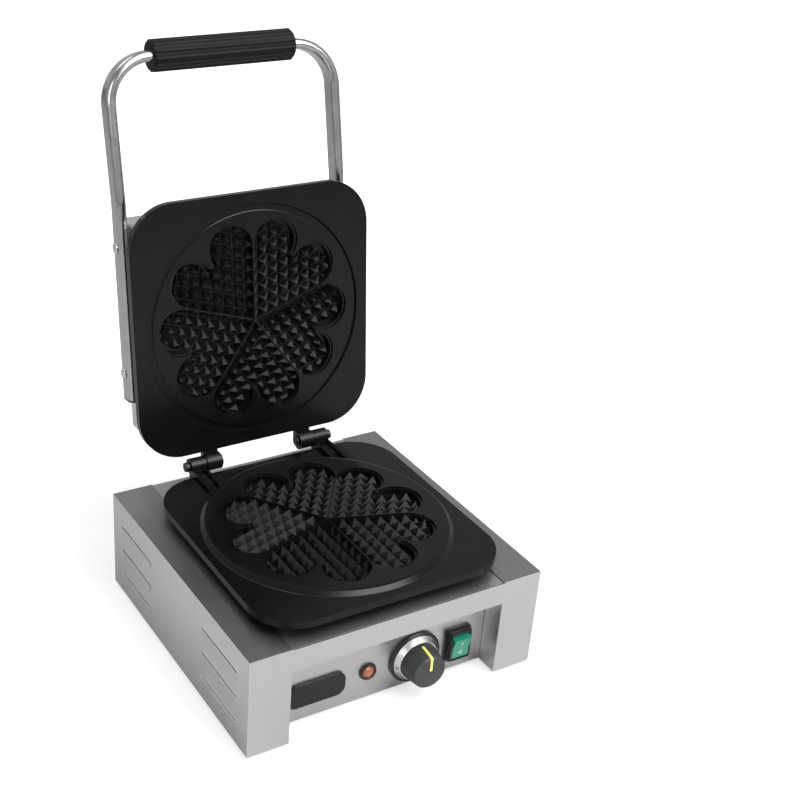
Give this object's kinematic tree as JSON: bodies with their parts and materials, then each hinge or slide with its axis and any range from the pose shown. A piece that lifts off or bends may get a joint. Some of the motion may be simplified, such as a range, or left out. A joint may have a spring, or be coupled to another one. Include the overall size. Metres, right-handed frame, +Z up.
{
  "type": "waffle maker",
  "caption": "Countertop waffle maker with heart-pattern cast plates, a stainless open-front base with dial, lamp and rocker switch, and a swing-up lid with a bowed grip handle.",
  "frame": {"origin": "on the ground, below the middle of the whole machine with its lid open", "axes": "+X to the right as seen from the front, -Y towards the controls, +Z up"},
  "size_m": [0.3082, 0.3984, 0.5283],
  "materials": {
    "stainless": "brushed",
    "stainless_deck": "brushed",
    "stainless_panel": "brushed",
    "zinc": "zinc-plated",
    "rubber_black": "matt",
    "badge_black": "gloss",
    "black_plastic": "satin",
    "amber_lens": "gloss",
    "dial_silver": "satin",
    "ceramic": "glazed",
    "copper": "drawn",
    "cast_plate": "non-stick coated",
    "heater_sheath": "annealed",
    "insulation": "felt",
    "screw_steel": "polished",
    "stainless_cover": "brushed",
    "chrome_tube": "polished",
    "grip_black": "satin",
    "knob_grey": "satin",
    "pointer_yellow": "painted",
    "rocker_green": "translucent"
  },
  "bodies": {
    "base": {"housing": "stainless", "top_plate": "stainless_deck", "control_panel": "stainless_panel", "back_panel": "stainless_panel", "bottom_plate": "zinc", "rubber_feet": "rubber_black", "name_plate": "badge_black", "lamp_bezel": "black_plastic", "lamp_lens": "amber_lens", "dial_rim": "black_plastic", "dial_ring": "dial_silver", "thermostat_body": "ceramic", "thermostat_bulb": "copper", "safety_cutout": "ceramic", "terminal_block": "ceramic", "earth_stud": "zinc", "cable_gland": "black_plastic", "base_lead_bush": "black_plastic", "switch_frame": "black_plastic", "switch_body": "black_plastic", "lower_plate": "cast_plate", "lower_element": "heater_sheath", "lower_clamp_disc": "zinc", "lower_insulation": "insulation", "heat_pan": "zinc", "lower_clamp_nut": "zinc", "plate_spacers": "zinc", "plate_bolts": "zinc", "panel_nuts": "screw_steel", "back_screws": "screw_steel", "bottom_screws": "screw_steel", "hinge_pins": "zinc", "hinge_clips": "zinc"},
    "lid": {"upper_plate": "cast_plate", "upper_element": "heater_sheath", "upper_clamp_disc": "zinc", "upper_insulation": "insulation", "upper_clamp_nut": "zinc", "lid_cover": "stainless_cover", "cover_posts": "zinc", "cover_screws": "screw_steel", "lid_lead_bush": "black_plastic", "handle_tube": "chrome_tube", "handle_plugs": "black_plastic", "handle_grip": "grip_black", "handle_washers": "zinc", "handle_bolts": "screw_steel", "handle_nuts": "zinc"},
    "knob": {"knob": "knob_grey", "pointer_mark": "pointer_yellow", "thermostat_shaft": "zinc"},
    "rocker": {"switch_rocker": "rocker_green"}
  },
  "joints": [
    {"name": "lid_hinge", "type": "hinge", "parent": "base", "child": "lid", "pos_m": [0, 0.08368, 0.1284], "axis": [1, 0, 0], "range_deg": [0, 96.5]},
    {"name": "knob_turn", "type": "hinge", "parent": "base", "child": "knob", "pos_m": [0.033, -0.17622, 0.033], "axis": [0, 1, 0], "range_deg": [0, 290]},
    {"name": "rocker_tilt", "type": "hinge", "parent": "base", "child": "rocker", "pos_m": [0.081, -0.17242, 0.033], "axis": [-1, 0, 0], "range_deg": [0, 22]}
  ]
}
